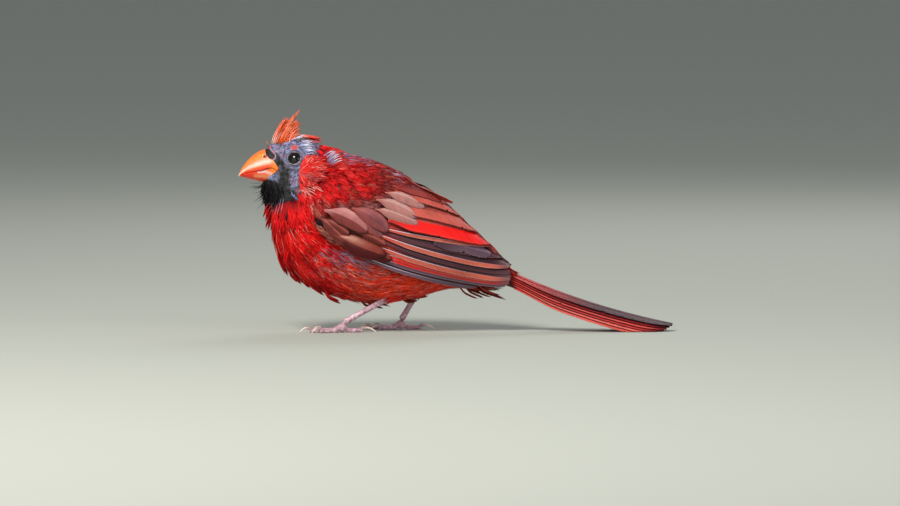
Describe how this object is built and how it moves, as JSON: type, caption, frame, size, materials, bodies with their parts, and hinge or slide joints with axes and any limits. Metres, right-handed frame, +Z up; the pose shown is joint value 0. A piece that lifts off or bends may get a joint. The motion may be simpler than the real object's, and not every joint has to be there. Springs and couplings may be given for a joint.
{
  "type": "northern cardinal",
  "caption": "Life-size model of a crested songbird in moult, standing on both feet with wings folded and tail laid on the ground.",
  "frame": {"origin": "on the ground, below the middle of the whole bird", "axes": "-X towards the bill, +X towards the tail, -Y towards the bird's left side, +Z up"},
  "size_m": [0.2042, 0.052, 0.1044],
  "materials": {
    "red_plumage": "matt body feathers",
    "wing_plumage": "smooth worn flight feathers, brown with red edges",
    "tail_plumage": "smooth flight feathers, red with dark webs",
    "crest_plumage": "loose crest feathers",
    "bare_skin": "bare slate skin of the moulting head",
    "bill_horn": "smooth orange horn",
    "eye": "wet black",
    "leg_skin": "scaly pink-grey skin",
    "claw_horn": "smooth pale horn"
  },
  "bodies": {
    "root": {"head": "bare_skin", "neck": "red_plumage", "torso": "red_plumage", "rump": "red_plumage", "bill_upper": "bill_horn", "bill_lower": "bill_horn", "eye_left": "eye", "eye_right": "eye", "crest": "crest_plumage", "wing_left": "wing_plumage", "wing_right": "wing_plumage", "tail": "tail_plumage", "leg_left": "leg_skin", "leg_right": "leg_skin", "foot_left": "leg_skin", "foot_right": "leg_skin", "claw_hind_left": "claw_horn", "claw_inner_left": "claw_horn", "claw_middle_left": "claw_horn", "claw_outer_left": "claw_horn", "claw_hind_right": "claw_horn", "claw_inner_right": "claw_horn", "claw_middle_right": "claw_horn", "claw_outer_right": "claw_horn"}
  },
  "joints": []
}
